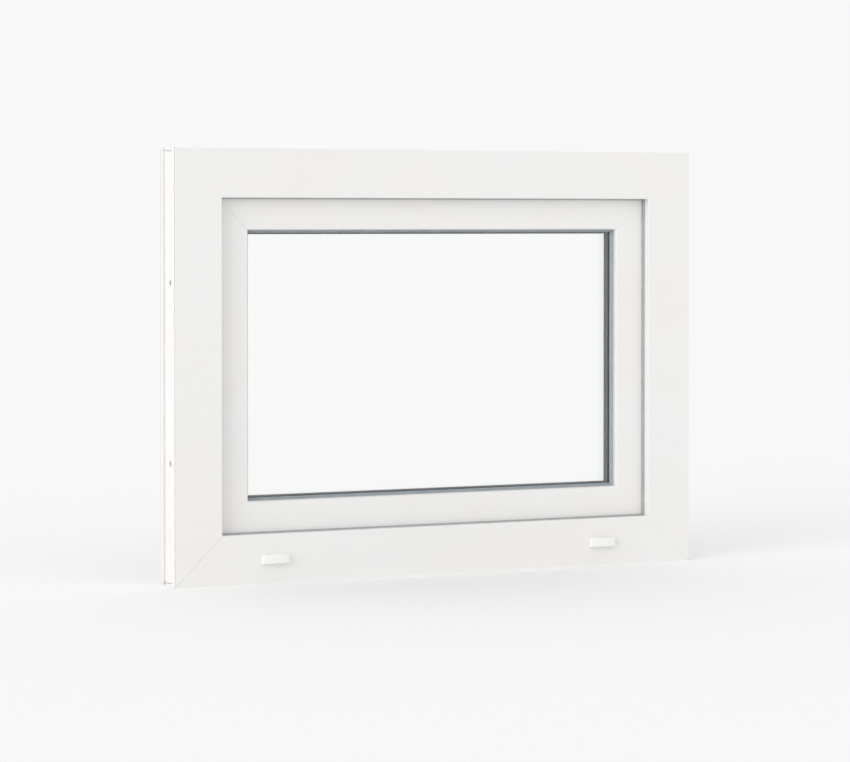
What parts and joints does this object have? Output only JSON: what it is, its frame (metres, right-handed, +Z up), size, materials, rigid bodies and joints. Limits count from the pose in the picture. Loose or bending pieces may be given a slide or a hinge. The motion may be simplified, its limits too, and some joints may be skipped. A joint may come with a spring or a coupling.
{
  "type": "casement window",
  "caption": "White plastic side-hung casement window, inward opening, with hollow frame and sash, sealed double glazing, lever handle, espagnolette lock and drain caps.",
  "frame": {"origin": "middle of the outer frame's underside, halfway through its depth", "axes": "+X along the sill, to the right as seen from outside; +Y from the weather side to the room side; +Z up"},
  "size_m": [0.8, 0.141, 0.6],
  "materials": {
    "frame_plastic": "smooth satin white window plastic",
    "sash_plastic": "smooth satin white window plastic",
    "bead_plastic": "smooth satin white window plastic",
    "galvanised_steel": "rolled and galvanised",
    "seal_rubber": "matt grey rubber",
    "gasket_grey": "matt grey rubber",
    "cap_plastic": "moulded white plastic",
    "zinc_casting": "silver-coated die casting",
    "screw_steel": "zinc plated",
    "white_enamel": "white powder coat",
    "bright_steel": "ground",
    "clear_glass": "clear float glass",
    "spacer_bar": "dark warm-edge spacer",
    "edge_sealant": "black sealant",
    "block_plastic": "moulded",
    "zinc_plated_steel": "pressed and zinc plated",
    "bush_plastic": "moulded nylon",
    "sintered_steel": "sintered"
  },
  "bodies": {
    "frame": {"frame_sill": "frame_plastic", "frame_head": "frame_plastic", "frame_jamb_left": "frame_plastic", "frame_jamb_right": "frame_plastic", "frame_reinforcement": "galvanised_steel", "frame_seal": "seal_rubber", "drain_cap_left": "cap_plastic", "drain_cap_right": "cap_plastic", "keep_lower": "zinc_casting", "keep_upper": "zinc_casting", "keep_screws": "screw_steel", "hinge_frame_leaf_lower": "white_enamel", "hinge_frame_leaf_upper": "white_enamel", "hinge_pin_lower": "bright_steel", "hinge_pin_upper": "bright_steel", "hinge_caps": "cap_plastic", "hinge_frame_screws": "screw_steel"},
    "sash": {"faceplate_screws": "screw_steel", "gearbox_case": "zinc_plated_steel", "glass_edge_seal": "edge_sealant", "glass_inner": "clear_glass", "glass_outer": "clear_glass", "glass_spacer": "spacer_bar", "glazing_bead_bottom": "bead_plastic", "glazing_bead_left": "bead_plastic", "glazing_bead_right": "bead_plastic", "glazing_bead_top": "bead_plastic", "glazing_gasket_inner": "gasket_grey", "glazing_gasket_outer": "gasket_grey", "handle_base": "zinc_casting", "handle_screws": "screw_steel", "hinge_bushes": "bush_plastic", "hinge_sash_leaf_lower": "white_enamel", "hinge_sash_leaf_upper": "white_enamel", "hinge_sash_screws": "screw_steel", "lock_faceplate": "zinc_plated_steel", "sash_bottom_rail": "sash_plastic", "sash_hinge_stile": "sash_plastic", "sash_lock_stile": "sash_plastic", "sash_reinforcement": "galvanised_steel", "sash_seal": "seal_rubber", "sash_top_rail": "sash_plastic", "setting_blocks": "block_plastic"},
    "handle": {"handle_lever": "white_enamel", "handle_spindle": "bright_steel", "gearbox_pinion": "sintered_steel"},
    "handle_cover": {"handle_cover_plate": "cap_plastic"},
    "drive_rod": {"drive_rod": "zinc_plated_steel", "cam_lower": "zinc_casting", "cam_upper": "zinc_casting"}
  },
  "joints": [
    {"name": "sash_turn", "type": "hinge", "parent": "frame", "child": "sash", "pos_m": [0.373, 0.044, 0], "axis": [0, 0, -1], "range_deg": [0, 90]},
    {"name": "handle_turn", "type": "hinge", "parent": "sash", "child": "handle", "pos_m": [-0.32421, 0.05, 0.3], "axis": [0, -1, 0], "range_deg": [0, 90]},
    {"name": "cover_turn", "type": "hinge", "parent": "sash", "child": "handle_cover", "pos_m": [-0.32421, 0.05, 0.3], "axis": [0, -1, 0], "range_deg": [0, 90]},
    {"name": "rod_slide", "type": "slide", "parent": "sash", "child": "drive_rod", "axis": [0, 0, -1], "range_m": [0, 0.0181]}
  ],
  "couplings": [
    {"joint": "rod_slide", "follows": "handle_turn", "m_per_rad": 0.011459}
  ]
}
